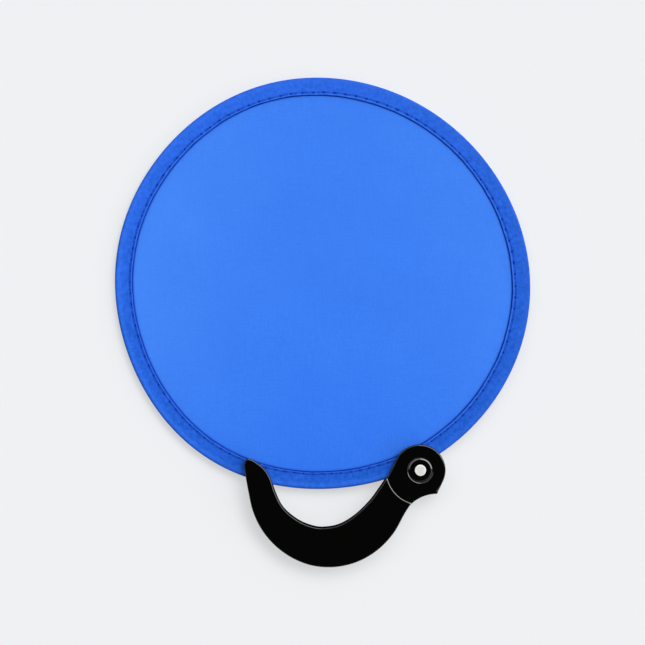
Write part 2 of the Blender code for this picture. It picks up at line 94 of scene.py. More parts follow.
# Handle shells, as in the solids, but for a slightly rounder inner edge
HEAD_RADIUS = 0.0148
HEAD_SPREAD = 0.0009
HEAD_PLAY = 0.00035
SHELL_WALL = 0.0018
STEP_OUTSET = 0.0049
STEP_HEIGHT = 0.0007
STEP_SLOPE = 0.0012
INNER_STEP_LAP = 0.0018
FLANK_OUTSET = 0.0017
NIB_OUTSET = 0.0022
NIB_DEGREES = -54.6
NECK_RADIUS = 0.0224
BOSS_RADIUS = 0.0024
BOSS_INSET = 0.0026
BOSS_SHARES = (0.26, 0.54, 0.82)
WALL_RIM_GAP = 0.0005
HANDLE_SWING_DEGREES = 90
CRESCENT_REACH = 0.1037
CRESCENT_DROP = 0.0569
INNER_EDGE_SHARES = (
    (0.196, -0.089),
    (0.243, -0.215),
    (0.290, -0.328),
    (0.364, -0.461),
    (0.445, -0.556),
    (0.522, -0.594),
    (0.602, -0.589),
    (0.696, -0.520),
    (0.779, -0.391),
    (0.825, -0.229),
    (0.851, -0.084),
    (0.884, 0.016),
    (0.935, 0.091),
)
TIP_SHARES = ((0.959, 0.112), (0.978, 0.122), (0.994, 0.108), (1.0, 0.060))
OUTER_EDGE_SHARES = (
    (0.994, -0.040),
    (0.978, -0.205),
    (0.951, -0.422),
    (0.898, -0.621),
    (0.818, -0.789),
    (0.716, -0.916),
    (0.600, -0.989),
    (0.474, -0.997),
    (0.352, -0.941),
    (0.242, -0.822),
    (0.153, -0.652),
    (0.089, -0.446),
    (0.058, -0.360),
)

# Heights above the disc's middle plane, and reaches from the pivot
HUB_INNER = HEM_HALF + HUB_GRIP_GAP
HUB_HALF = HUB_INNER + HUB_FLANGE
HEAD_INNER = HUB_HALF + HEAD_PLAY
HEAD_HALF = HEAD_INNER + SHELL_WALL
CRESCENT_INNER = HEAD_INNER + STEP_HEIGHT
CRESCENT_HALF = HEAD_HALF + STEP_HEIGHT
SPIGOT_HALF = HEAD_HALF - SPIGOT_SINK
STEP_RADIUS = HEAD_RADIUS + STEP_OUTSET
NIB_REACH = HEAD_RADIUS + NIB_OUTSET
FLANK_REACH = HEAD_RADIUS + HEAD_SPREAD + FLANK_OUTSET

# Finer steps and rounded edges, which the solids leave plain
OUTLINE_STEP = 0.0008
WALL_TRIES = 4
HEAD_STEPS = 256
HUB_STEPS = 192
SMALL_STEPS = 96
MOUTH_STEPS = 720
EDGE_RADIUS = 0.0008
GRIP_EDGE_RADIUS = 0.0005
EDGE_FADE = 0.012
LOWER_RIGHT_FROM = 0.35
LOWER_RIGHT_RISE = 2
BORE_FACET = 0.0004
SPIGOT_FACET = 0.0008
FACET_SLOPE = 0.384
FACET_EDGE_RADIUS = 0.00012
SMALL_EDGE_RADIUS = 0.00022
EDGE_SEGMENTS = 6
EDGE_OVERRUN = 0.0003
CUT_OVERRUN = 0.002
STEP_SHARES = (0.08, 0.28, 0.92)
STEP_RISE_SHARE = 0.5
NIB_FACET_WIDTH = 0.0013
NIB_FACET_DEPTH = 0.0014
NIB_FACET_SHARES = (0.12, 0.9)
SHADE_DEGREES = 25

# Stitching: stitches round the rim, and how they crowd towards one side, each (count, share, degrees)
STITCHES = 113
CROWDING_SHARES = ((1, 0.07, -95), (2, 0.05, -190))
STITCH_PHASES = (0, 0.03, 0.065, 0.11, 0.2, 0.34, 0.5, 0.66, 0.8, 0.89, 0.935, 0.97)
STITCH_INSET = 8.9 * MM
STITCH_POINTS = 12
STITCH_END_SHARE = 0.03
STITCH_END_HEIGHT = 0.08 * MM
STITCH_ARCH = 0.44 * MM
STITCH_PUCKER_ARCH = 0.06 * MM
THREAD_RADIUS = 0.17 * MM
THREAD_SIDES = 6
THREAD_PLIES = 2
PLY_TURNS = 2.5

# Where round the rim something is stronger, each (degrees, width in degrees, how much)
HEM_NARROWS_MM = ((35, 25, 0.22), (108, 20, 0.45), (190, 25, 0.3), (270, 25, 0.6))
PUCKER_SHARE = 0.8
PUCKER_SHARES = ((-92, 30, 1.1),)
# Strength of the painted shade along the line of stitches
GROOVE_SHARE = 0.55
GROOVE_SHARES = ((185, 45, 0.4), (-92, 40, 0.2))

# Bands along the tape, each (inset from the rim, half width)
SWELL_BAND = (9.3 * MM, 1.1 * MM)
HOLE_BAND = (STITCH_INSET, 0.45 * MM)
DRAW_BAND = (8.3 * MM, 1.8 * MM)
LUMP_BAND = (5 * MM, 3 * MM)
RIDGE_BAND = (9.75 * MM, 0.36 * MM)
WORN_BAND = (2.3 * MM, 1.3 * MM)
FOLD_BAND = (0, 0.7 * MM)

# Slopes across the tape from nought to one, each (inset at which it starts, length)
BODY_SLOPE = (0.4 * MM, 2 * MM)
WANDER_SLOPE = (6 * MM, 2 * MM)
ROLL_SLOPE = (9.1 * MM, 1.7 * MM)
NARROWING_SLOPE = (STITCH_INSET + 0.2 * MM, 1.1 * MM)
# Across the crease slope the painted shade at the tape's inner edge rises to full
CREASE_SLOPE = (10.2 * MM, 0.25 * MM)

# Relief of the tape: at the stitches (widths in shares of a stitch), in ripples all over, at its folded
# join, and at two creases beside the hub
SWELL_HEIGHT = 0.07 * MM
HOLE_DEPTH = 0.16 * MM
DRAW_DEPTH = 0.06 * MM
ROLL_DEPTH = 0.05 * MM
HOLE_WIDTH_SHARE = 0.08
DRAW_WIDTH_SHARE = 0.16
RIPPLE_SHARE = 0.5
RIPPLE_RADIANS_PER_MM = 0.9
JOIN_HEIGHT = 0.09 * MM
JOIN_DEGREES = 245.3
JOIN_WIDTH_DEGREES = 2.2
JOIN_EDGE_DEGREES = 0.22
JOIN_LEAN_DEGREES_PER_MM = 0.08
CREASE_HEIGHT = 0.07 * MM
CREASE_DEGREES = (306.5, 304.6)
CREASE_WIDTH_DEGREES = 0.8
CREASE_LEAN = 14

# How pale the tape is at its ridge and worn rim, and how dark its painted shade is in its holes, at its fold
# and along two lines beside the thread, at (distance from the thread, half width). Stitches have painted
# shade near their ends.
RIDGE_PALE = 1.1
RIDGE_PALE_AT_HOLE = 0.35
RIDGE_HOLE_WIDTH_SHARE = 0.2
RIDGE_RAGGED_PER_MM = 8
WORN_PALE = 0.35
HOLE_DARK = 1.6
FOLD_DARK = 0.25
BESIDE_THREAD = (0.36 * MM, 0.24 * MM)
STITCH_DARK_SHARE = 0.1

# Rings of points in the taut cloth, in runs of (first share of the radius, last share, how many)
PANEL_RING_SHARES = ((0.012, 0.86, 46), (0.866, 0.92, 10), (0.923, 0.95, 14), (0.96, 1.0, 3))
PANEL_STATIONS = STITCHES * 4

# Relief of the taut cloth: soft billows all over, and pulls at the stitches that fade inwards from the hem
# and under it. Beside the hem it is darkened by painted shade, each (how much, reach).
BILLOW_SEED = 11
BILLOW_WAVES = 26
BILLOW_LENGTH = 0.075
BILLOW_HEIGHT = 0.035 * MM
BILLOW_FROM_HEM = 6 * MM
PULL_HEIGHT = 0.045 * MM
PULL_REACH = 2.6 * MM
PULL_REACH_UNDER_HEM = 1.5 * MM
LONG_PULL_SHARE = 1.6
LONG_PULL_BAND = (5 * MM, 7 * MM)
LONG_PULL_REACH_UNDER_HEM = 0.6 * MM
SEAM_SHADES = ((0.8, 0.35 * MM), (0.1, 2 * MM))

# Section of the binding, from its inner edge to the rim: inset from the rim and height, in millimetres
TAPE_OUTSIDE_MM = (
    (10.86, 0.17),
    (10.90, 0.28),
    (10.80, 0.42),
    (10.60, 0.55),
    (10.25, 0.66),
    (9.80, 0.71),
    (9.50, 0.67),
    (9.30, 0.60),
    (9.10, 0.51),
    (8.90, 0.46),
    (8.70, 0.50),
    (8.50, 0.58),
    (8.25, 0.64),
    (7.90, 0.70),
    (7.2, 0.74),
    (6.3, 0.78),
    (5.4, 0.83),
    (4.5, 0.90),
    (3.7, 0.98),
    (3.0, 1.08),
    (2.4, 1.20),
    (1.9, 1.31),
    (1.4, 1.39),
    (1.0, 1.40),
    (0.65, 1.32),
    (0.36, 1.15),
    (0.15, 0.88),
    (0.04, 0.55),
    (0.0, 0.2),
)
TAPE_INSIDE_MM = (
    (10.7, 0.16),
    (9.6, 0.19),
    (8.4, 0.22),
    (7.4, 0.45),
    (5.4, 0.60),
    (3.6, 0.76),
    (2.3, 1.02),
    (1.4, 1.17),
    (0.9, 1.11),
    (0.5, 0.84),
    (0.27, 0.45),
)

# Camera and floor
PHOTO_LENS_MM = 103.44
SENSOR_WIDTH_MM = 36
CAMERA_PLACE = (0.62 * MM, -0.61 * MM, 1.1)
FLOOR_SIZE = 40.0
FLOOR_COLOUR = (0.863, 0.880, 0.896, 1)
FLOOR_GLOW_SHARE = 0.62

# Light: soft boxes, each (azimuth, half width, blur of the edge, lowest and highest elevation, light), and
# walls that are brighter towards one side and end below the ceiling. Angles are in degrees.
SOFT_BOXES = (
    (46, 42, 5, 36, 62, 5.0),
    (135, 42, 5, 35, 56, 1.8),
    (-28, 20, 6, 10, 28, 3.0),
)
WALL_AZIMUTH = 15
WALL_TOP = (62, 70)
WALL_LIGHT = 0.34


def polar(distance, degrees):
    angle = math.radians(degrees)
    return Vector((distance * math.cos(angle), distance * math.sin(angle), 0))


def left_of(way):
    return Vector((-way.y, way.x, 0))


def rim_radius(angle):
    lobes = sum(
        share * np.cos(count * angle - math.radians(phase)) for count, share, phase in RIM_LOBE_SHARES
    )
    return RIM_RADIUS * (1 + lobes)


def pivot_distance():
    return float(rim_radius(math.radians(PIVOT_DEGREES))) + PIVOT_OUTSET


def hinge_matrix():
    top = float(rim_radius(math.pi / 2))
    place = polar(pivot_distance(), PIVOT_DEGREES)
    middle = Vector((0, (top + place.y - CRESCENT_DROP) / 2, 0))
    return Matrix.Translation(place - middle + Vector((0, 0, CRESCENT_HALF)))


def pivot_matrix():
    """The hinge's place, turned as the disc hangs from it with its far rim on the table."""
    far_angle = math.radians(PIVOT_DEGREES) + math.pi
    reach = pivot_distance() + float(rim_radius(far_angle)) - HEM_FOLD_CHAMFER
    tilt = math.asin(CRESCENT_HALF / math.hypot(reach, HEM_HALF)) - math.atan2(HEM_HALF, reach)
    axis = Vector((0, 0, 1)).cross(-polar(pivot_distance(), PIVOT_DEGREES)).normalized()
    return hinge_matrix() @ Matrix.Rotation(tilt, 4, axis)


def disc_matrix():
    return pivot_matrix() @ Matrix.Translation(-polar(pivot_distance(), PIVOT_DEGREES))


# Meshes


def mesh_object(name, points, faces, finish=None, place=None):
    mesh = bpy.data.meshes.new(name)
    mesh.from_pydata([tuple(point) for point in points], [], faces)
    if place:
        mesh.transform(place)
    work = bmesh.new()
    work.from_mesh(mesh)
    bmesh.ops.recalc_face_normals(work, faces=work.faces)
    work.to_mesh(mesh)
    work.free()
    mesh.shade_smooth()
    made = bpy.data.objects.new(name, mesh)
    bpy.context.scene.collection.objects.link(made)
    if finish:
        mesh.materials.append(finish)
    return made


def ring_faces(rings, count, closed, first=0):
    """Quads between rings of equally many points. A closed stack is a tube, and an open one has two ends."""
    faces = []
    for level in range(rings if closed else rings - 1):
        below = first + level * count
        above = first + (level + 1) % rings * count
        for i in range(count):
            j = (i + 1) % count
            faces.append((below + i, below + j, above + j, above + i))
    if not closed:
        last = first + (rings - 1) * count
        faces.append(tuple(range(first, first + count)))
        faces.append(tuple(range(last, last + count)))
    return faces


def stacked(name, rings, closed=False, finish=None, place=None):
    points = [point for ring in rings for point in ring]
    return mesh_object(name, points, ring_faces(len(rings), len(rings[0]), closed), finish, place)


def circle(radius, height, steps, centre=(0, 0)):
    turns = [2 * math.pi * i / steps for i in range(steps)]
    return [
        Vector((centre[0] + radius * math.cos(a), centre[1] + radius * math.sin(a), height)) for a in turns
    ]


def turned(name, profile, steps=HUB_STEPS, centre=(0, 0), bored=False):
    rings = [circle(radius, height, steps, centre) for radius, height in profile]
    return stacked(name, rings, bored)


def prism(name, outline, low, high):
    rings = [[Vector((p.x, p.y, z)) for p in outline] for z in (low, high)]
    return stacked(name, rings)


def rounded(profile, radius):
    """The profile with each inner corner replaced by a short arc."""
    points = [Vector(p) for p in profile]
    result = [points[0]]
    for a, b, c in zip(points, points[1:], points[2:]):
        back = (a - b).normalized()
        ahead = (c - b).normalized()
        reach = min(radius, (a - b).length / 2, (c - b).length / 2)
        start = b + back * reach
        end = b + ahead * reach
        for i in range(EDGE_SEGMENTS + 1):
            t = i / EDGE_SEGMENTS
            result.append(start * (1 - t) ** 2 + b * (2 * t * (1 - t)) + end * t**2)
    result.append(points[-1])
    return [tuple(point) for point in result]


def cut(target, tool):
    """Takes the tool's shape out of the target."""
    modifier = target.modifiers.new("cut", "BOOLEAN")
    modifier.operation = "DIFFERENCE"
    modifier.solver = "EXACT"
    modifier.object = tool
    graph = bpy.context.evaluated_depsgraph_get()
    result = bpy.data.meshes.new_from_object(target.evaluated_get(graph))
    target.modifiers.clear()
    target.data = result
    bpy.data.objects.remove(tool)


def finish_solid(obj, place, finish):
    """Places a cut solid, joins its stray points, and shades its small roundings smoothly."""
    mesh = obj.data
    mesh.transform(place)
    work = bmesh.new()
    work.from_mesh(mesh)
    bmesh.ops.remove_doubles(work, verts=work.verts, dist=MM / 1000)
    bmesh.ops.dissolve_degenerate(work, edges=work.edges, dist=MM / 1000)
    work.to_mesh(mesh)
    work.free()
    mesh.materials.clear()
    mesh.materials.append(finish)
    mesh.shade_smooth()
    mesh.set_sharp_from_angle(angle=math.radians(SHADE_DEGREES))
    weighted = obj.modifiers.new("weighted", "WEIGHTED_NORMAL")
    weighted.keep_sharp = True
    weighted.weight = 100
    return obj


def add_shade(obj, light, dark):
    """Keeps how pale each point is, and how much painted shade it has, for its material."""
    for name, values in (("pale", light), ("shaded", dark)):
        attribute = obj.data.attributes.new(name, "FLOAT", "POINT")
        attribute.data.foreach_set("value", values.reshape(-1).astype(np.float32))


# Cloth


def bell(x, centre, width):
    return np.exp(-(((x - centre) / width) ** 2))


def slope(x, start, length):
    return np.clip((x - start) / length, 0, 1)


def fading(distance, reach):
    return np.exp(-distance / reach)


def angle_bell(angle, degrees, width_degrees):
    away = np.angle(np.exp(1j * (angle - math.radians(degrees))))
    return bell(np.degrees(away), 0, width_degrees)


def stronger_at(angle, places):
    return sum(much * angle_bell(angle, degrees, width) for degrees, width, much in places)


def seeded_waves(seed, counts, size):
    """A smooth closed random curve of the angle: the same one each run."""
    chance = np.random.default_rng(seed)
    terms = []
    for count in counts:
        height = chance.normal() * size / math.sqrt(len(counts))
        terms.append((count, height, chance.uniform(0, 2 * math.pi)))
    return lambda angle: sum(height * np.cos(count * angle + phase) for count, height, phase in terms)


edge_wander = seeded_waves(5, range(3, 40), 0.1 * MM)
edge_nibble = seeded_waves(6, range(60, 160, 7), 0.035 * MM)
tape_swell = seeded_waves(7, range(9, 60, 3), 0.03 * MM)
groove_dashes = seeded_waves(8, range(90, 330, 12), 0.3)


def stitch_count_to(angle):
    """How many stitches lie between angle zero and this angle."""
    crowded = sum(
        share / count * np.sin(count * angle - math.radians(phase)) for count, share, phase in CROWDING_SHARES
    )
    return STITCHES / (2 * math.pi) * (angle + crowded)


def first_stitch():
    return math.ceil(stitch_count_to(0.0))


def angle_at(stitch):
    fine = np.linspace(-0.5, 2 * math.pi + 0.5, 20001)
    return np.interp(stitch, stitch_count_to(fine), fine)


def hem_narrowing(angle):
    """How far the tape's inner edge lies outwards of its even place: the hem is narrower in four places."""
    return MM * stronger_at(angle, HEM_NARROWS_MM)


def pucker_strength(angle):
    return PUCKER_SHARE + stronger_at(angle, PUCKER_SHARES)


def groove_painted_shade(angle):
    """How dark the painted shade along the line of stitches is: most at the left, where the tape is drawn
    down hardest.
    """
    return GROOVE_SHARE + stronger_at(angle, GROOVE_SHARES)


def tape_wrinkles(angle, inset):
    """Height of the few creases across the binding: its folded join, and those beside the hub."""
    from_join = np.degrees(angle) % 360 - JOIN_DEGREES + inset / MM * JOIN_LEAN_DEGREES_PER_MM
    join = np.tanh(from_join / JOIN_EDGE_DEGREES) * angle_bell(angle, JOIN_DEGREES, JOIN_WIDTH_DEGREES)
    leaning = angle - inset * CREASE_LEAN
    raised, sunk = (angle_bell(leaning, degrees, CREASE_WIDTH_DEGREES) for degrees in CREASE_DEGREES)
    return JOIN_HEIGHT * join + CREASE_HEIGHT * (raised - sunk)


def needle_hole(from_hole, inset):
    """One in the middle of a needle hole, and nought away from it."""
    return bell(from_hole, 0, HOLE_WIDTH_SHARE) * bell(inset, *HOLE_BAND)


def tape_relief(angle, phase, inset):
    """Height of the tape's face over its plain section: the stitches draw it down, and it swells between."""
    from_hole = np.minimum(phase, 1 - phase)
    strength = pucker_strength(angle)
    between = 0.5 - 0.5 * np.cos(2 * math.pi * phase)
    swell = SWELL_HEIGHT * strength * between * bell(inset, *SWELL_BAND)
    hole = HOLE_DEPTH * needle_hole(from_hole, inset)
    draw = DRAW_DEPTH * strength * bell(from_hole, 0, DRAW_WIDTH_SHARE) * bell(inset, *DRAW_BAND)
    lumps = tape_swell(angle) * bell(inset, *LUMP_BAND)
    ripples = RIPPLE_SHARE * tape_swell(3 * angle + 1)
    ripples = ripples * np.sin(inset / MM * RIPPLE_RADIANS_PER_MM + 2 * angle)
    over_all = lumps + ripples + tape_wrinkles(angle, inset)
    return swell - hole - draw + slope(inset, *BODY_SLOPE) * over_all


def tape_shades(angle, phase, inset):
    """How pale the tape is on its ridge and worn rim, and how dark its painted shade is in grooves, holes and
    folds.
    """
    from_hole = np.minimum(phase, 1 - phase)
    at_hole = RIDGE_PALE_AT_HOLE * bell(from_hole, 0, RIDGE_HOLE_WIDTH_SHARE)
    ragged = RIDGE_RAGGED_PER_MM * edge_nibble(angle) / MM
    ridge = bell(inset, *RIDGE_BAND) * (RIDGE_PALE + at_hole + ragged)
    pale = ridge + WORN_PALE * bell(inset, *WORN_BAND)
    # Painted shade beside the thread, in the needle holes, at the inner crease and at the outer fold
    beside_thread = bell(np.abs(inset - STITCH_INSET), *BESIDE_THREAD)
    groove = beside_thread * np.clip(groove_painted_shade(angle) + groove_dashes(angle), 0, 1)
    dark = HOLE_DARK * needle_hole(from_hole, inset) + groove
    dark = dark + slope(inset, *CREASE_SLOPE) + FOLD_DARK * bell(inset, *FOLD_BAND)
    return pale, np.clip(dark, 0, 1)


def tape_section():
    """Insets and heights of the points round the folded tape, and which of them lie on its outside."""
    outside = np.array(TAPE_OUTSIDE_MM) * MM
    inside = np.array(TAPE_INSIDE_MM) * MM
    outer = np.vstack([outside, outside[::-1] * (1, -1)])
    inner = np.vstack([inside * (1, -1), inside[::-1]])
    section = np.vstack([outer, inner])
    on_outside = np.arange(len(section)) < len(outer)
    return section[:, 0][None, :], section[:, 1][None, :], on_outside[None, :]


def binding(finish):
    """Folded tape, drawn down by the stitches, with a rolled inner edge."""
    places = np.array([first_stitch() + i + phase for i in range(STITCHES) for phase in STITCH_PHASES])
    angle = angle_at(places)[:, None]
    phase = (places % 1)[:, None]
    inset, height, on_outside = tape_section()
    height = height + np.sign(height) * on_outside * tape_relief(angle, phase, inset)

    wander = (edge_wander(angle) + edge_nibble(angle)) * slope(inset, *WANDER_SLOPE)
    waves = np.cos(2 * math.pi * phase)
    rolled = ROLL_DEPTH * pucker_strength(angle) * waves * slope(inset, *ROLL_SLOPE)
    narrowed = hem_narrowing(angle) * slope(inset, *NARROWING_SLOPE)
    reach = rim_radius(angle) - inset - wander + rolled + narrowed
    points = np.stack([reach * np.cos(angle), reach * np.sin(angle), height], -1).reshape(-1, 3)

    faces = ring_faces(len(places), inset.size, True)
    made = mesh_object("binding_cloth", points, faces, finish, disc_matrix())
    pale, dark = tape_shades(angle, phase, inset)
    add_shade(made, pale * on_outside, dark * on_outside)
    return made


def stitches(name, side, finish):
    """Two-ply stitches, each from one needle hole to the next."""
    u = np.linspace(STITCH_END_SHARE, 1 - STITCH_END_SHARE, STITCH_POINTS)
    arch = np.sin(math.pi * u) ** 0.5
    from_hole = np.minimum(u, 1 - u)
    upward = np.array([0, 0, 1.0])
    points = []
    faces = []
    shades = []
    for number in range(STITCHES):
        angle = angle_at(first_stitch() + number + u)
        radius = rim_radius(angle) - STITCH_INSET - edge_wander(angle) - edge_nibble(angle)
        raised = (STITCH_ARCH + STITCH_PUCKER_ARCH * pucker_strength(angle)) * arch
        height = side * (STITCH_END_HEIGHT + raised)
        outward = np.stack([np.cos(angle), np.sin(angle), 0 * angle], -1)
        centres = outward * radius[:, None] + upward * height[:, None]
        for ply in range(THREAD_PLIES):
            turn = 2 * math.pi * (PLY_TURNS * u + ply / THREAD_PLIES)
            spoke = outward * np.cos(turn)[:, None] + upward * np.sin(turn)[:, None]
            axis = centres + THREAD_RADIUS / 2 * spoke
            faces += ring_faces(STITCH_POINTS, THREAD_SIDES, False, len(points))
            for k in range(STITCH_POINTS):
                for j in range(THREAD_SIDES):
                    a = 2 * math.pi * j / THREAD_SIDES
                    spoke = outward[k] * math.cos(a) + upward * math.sin(a)
                    points.append(axis[k] + THREAD_RADIUS / 2 * spoke)
                    shades.append(bell(from_hole[k], 0, STITCH_DARK_SHARE))
    made = mesh_object(name, points, faces, finish, disc_matrix())
    # Painted shade near each stitch's ends, at the needle holes
    shades = np.array(shades)
    add_shade(made, 0 * shades, shades)
    return made


def billows(x, y):
    """Unevenness of the taut cloth: many soft random waves."""
    chance = np.random.default_rng(BILLOW_SEED)
    height = 0 * x
    for _ in range(BILLOW_WAVES):
        wave = chance.normal(size=2) * 2 * math.pi / BILLOW_LENGTH
        size = chance.normal()
        shift = chance.uniform(0, 2 * math.pi)
        height = height + size * np.cos(wave[0] * x + wave[1] * y + shift)
    return BILLOW_HEIGHT * height


def panel(finish):
    """The taut cloth: nearly flat, with slight billows, and small pulls at the stitches."""
    angle = np.linspace(0, 2 * math.pi, PANEL_STATIONS, endpoint=False)[None, :]
    phase = stitch_count_to(angle) % 1
    outer = rim_radius(angle) - PANEL_EDGE_INSET
    shares = np.concatenate([np.linspace(*run) for run in PANEL_RING_SHARES])[:, None]
    radius = outer * shares
    hem_line = outer - (HEM_WIDTH - PANEL_EDGE_INSET) + hem_narrowing(angle)
    inside_hem = np.clip(hem_line - radius, 0, None)
    under_hem = np.clip(radius - hem_line, 0, None)
    x = radius * np.cos(angle)
    y = radius * np.sin(angle)
    waves = np.cos(2 * math.pi * phase)
    pulls = PULL_HEIGHT * pucker_strength(angle) * waves * fading(inside_hem, PULL_REACH)
    pulls = pulls * fading(under_hem, PULL_REACH_UNDER_HEM)
    long_pulls = LONG_PULL_SHARE * tape_swell(2 * angle + 0.4) * bell(inside_hem, *LONG_PULL_BAND)
    long_pulls = long_pulls * fading(under_hem, LONG_PULL_REACH_UNDER_HEM)
    relief = pulls + long_pulls + billows(x, y) * (1 - fading(inside_hem, BILLOW_FROM_HEM))

    # The front runs out from the middle, and the rear back in, so that they meet at the outer edge
    front = np.stack([x, y, relief + PANEL_HALF], -1)
    rear = np.stack([x, y, relief - PANEL_HALF], -1)
    rings = np.concatenate([front, rear[::-1]])
    made = stacked("panel_cloth", list(rings), False, finish, disc_matrix())
    # Painted shade on the cloth beside the hem
    shade = sum(much * fading(inside_hem, reach) for much, reach in SEAM_SHADES)
    shade = np.concatenate([shade, shade[::-1]])
    add_shade(made, 0 * shade, np.clip(shade, 0, 1))
    return made


# Handle


def smooth_curve(knots, step):
    """Points about one step apart on a Catmull-Rom curve through the knots."""
    padded = [2 * knots[0] - knots[1], *knots, 2 * knots[-1] - knots[-2]]
    points = [knots[0]]
    for a, b, c, d in zip(padded, padded[1:], padded[2:], padded[3:]):
        count = max(1, math.ceil((c - b).length / step))
        second = 2 * a - 5 * b + 4 * c - d
        third = 3 * b - a - 3 * c + d
        for i in range(1, count + 1):
            t = i / count
            points.append(0.5 * (2 * b + (c - a) * t + second * t**2 + third * t**3))
    return points


def arc_between(start, end, radius, step):
    """Points after start up to end, on an arc whose centre lies to the right of the way."""
    chord = end - start
    across = Vector((chord.y, -chord.x, 0)).normalized()
    centre = (start + end) / 2 + across * math.sqrt(radius**2 - (chord.length / 2) ** 2)
    half = math.asin(chord.length / 2 / radius)
    count = max(2, math.ceil(2 * half * radius / step))
    spoke = start - centre
    return [centre + Matrix.Rotation(-2 * half * i / count, 3, "Z") @ spoke for i in range(1, count + 1)]


def in_sizes(shares):
    return [Vector((-along * CRESCENT_REACH, up * CRESCENT_DROP, 0)) for along, up in shares]


def outer_side():
    crescent = smooth_curve(in_sizes(TIP_SHARES[-1:] + OUTER_EDGE_SHARES), OUTLINE_STEP)
    nib = polar(NIB_REACH, NIB_DEGREES)
    return crescent + arc_between(crescent[-1], nib, NECK_RADIUS, OUTLINE_STEP)


def head_start():
    """Direction from the pivot in which the nib's straight side touches the head's round edge."""
    return math.radians(NIB_DEGREES) + math.acos(HEAD_RADIUS / NIB_REACH)


def head_arc():
    """The head's edge, a little wider towards the inner edge."""
    start = head_start()
    end = math.pi - math.acos((HEAD_RADIUS + HEAD_SPREAD) / FLANK_REACH)
    count = math.ceil(HEAD_RADIUS * (end - start) / OUTLINE_STEP)
    points = []
    for i in range(count + 1):
        share = i / count
        radius = HEAD_RADIUS + HEAD_SPREAD * share**2
        points.append(polar(radius, math.degrees(start + (end - start) * share)))
    return points


def handle_outline():
    """Closed outline, counterclockwise, with the pivot at zero."""
    flank = Vector((-FLANK_REACH, 0, 0))
    inner = smooth_curve([flank] + in_sizes(INNER_EDGE_SHARES + TIP_SHARES), OUTLINE_STEP)
    return head_arc() + inner + outer_side()[1:]


def inset_line(points, distance, closed=False):
    """The points moved to the left of their way by a distance, with mitred corners."""
    moved = []
    count = len(points)
    for i, point in enumerate(points):
        ways = []
        if closed or i:
            ways.append((point - points[i - 1]).normalized())
        if closed or i < count - 1:
            ways.append((points[(i + 1) % count] - point).normalized())
        normals = [left_of(way) for way in ways]
        middle = sum(normals, Vector()).normalized()
        moved.append(point + middle * distance / middle.dot(normals[0]))
    return moved


def with_crossings(outline, radius):
    """The closed outline, with a point wherever it crosses a circle about the pivot."""
    points = []
    for a, b in zip(outline, outline[1:] + outline[:1]):
        points.append(a)
        if (a.length - radius) * (b.length - radius) < 0:
            way = b - a
            middle = -a.dot(way) / way.length_squared
            spread = math.sqrt(max(radius**2 - (a + way * middle).length_squared, 0)) / way.length
            points += [a + way * t for t in (middle - spread, middle + spread) if 0 < t < 1]
    return points


def relief_profile(side):
    """The step from the lower head up to the crescent: a short steep rise, then a flatter facet."""
    foot, shoulder, brow = (STEP_RADIUS + STEP_SLOPE * share for share in STEP_SHARES)
    return (
        (foot, side * HEAD_HALF),
        (shoulder, side * (HEAD_HALF + STEP_HEIGHT * STEP_RISE_SHARE)),
        (brow, side * CRESCENT_HALF),
    )


def shell_top(point):
    reaches, heights = zip(*relief_profile(1))
    return float(np.interp(point.length, reaches, heights))


def edge_radius(point):
    """Broad at the head's upper and left edge and at the tip, and small along the grip."""
    from_head = max(point.length - STEP_RADIUS - EDGE_FADE, 0)
    from_tip = max(point.x + CRESCENT_REACH - EDGE_FADE, 0)
    to_lower_right = point.x / HEAD_RADIUS - point.y / HEAD_RADIUS - LOWER_RIGHT_FROM
    small = max(min(from_head, from_tip) / EDGE_FADE, to_lower_right * LOWER_RIGHT_RISE)
    small = min(max(small, 0), 1)
    small = small * small * (3 - 2 * small)
    return EDGE_RADIUS + (GRIP_EDGE_RADIUS - EDGE_RADIUS) * small


def edge_section(radius):
    """What a rounding takes off an edge, as (inset, height below the face), a little longer at both ends."""
    arc = []
    for i in range(EDGE_SEGMENTS + 1):
        a = math.pi / 2 * i / EDGE_SEGMENTS
        arc.append(Vector((radius * (1 - math.cos(a)), radius * (math.sin(a) - 1))))
    first = arc[0] + (arc[0] - arc[1]).normalized() * EDGE_OVERRUN
    last = arc[-1] + (arc[-1] - arc[-2]).normalized() * EDGE_OVERRUN
    return [first] + arc[1:-1] + [last, Vector((-EDGE_OVERRUN, EDGE_OVERRUN))]


def edge_cutter(name, outline, side):
    line = outline
    for point in relief_profile(side):
        line = with_crossings(line, point[0])
    sections = [edge_section(edge_radius(point)) for point in line]
    inward = [moved - point for moved, point in zip(inset_line(line, 1.0, closed=True), line)]
    rings = []
    for level in range(len(sections[0])):
        ring = []
        for point, way, section in zip(line, inward, sections):
            inset, height = section[level]
            ring.append(point + way * inset + Vector((0, 0, side * (shell_top(point) + height))))
        rings.append(ring)
    return stacked(name, rings, closed=True)


def nib_cutter(name, side):
    """A sloping facet beside the nib, which narrows towards the round head."""
    start = polar(HEAD_RADIUS, math.degrees(head_start()))
    nib = polar(NIB_REACH, NIB_DEGREES)
    way = (nib - start).normalized()
    out = left_of(way)
    rings = []
    for share in NIB_FACET_SHARES:
        middle = start.lerp(nib, share)
        wide = NIB_FACET_WIDTH * share
        deep = NIB_FACET_DEPTH * share
        low = middle + out * wide + Vector((0, 0, side * (HEAD_HALF - 2 * deep)))
        inner = middle - out * wide * 2 + Vector((0, 0, side * (HEAD_HALF + deep)))
        outer = middle + out * wide + Vector((0, 0, side * (HEAD_HALF + deep)))
        rings.append([low, inner, outer])
    return stacked(name, rings)


def clear_of_rim(point):
    """Whether a point of the handle keeps the gap to the rim at both ends of the swing."""
    for swing in (0, HANDLE_SWING_DEGREES):
        spoke = point + polar(pivot_distance(), PIVOT_DEGREES - swing)
        angle = math.atan2(spoke.y, spoke.x) + math.radians(swing)
        if spoke.length < rim_radius(angle) + WALL_RIM_GAP:
            return False
    return True


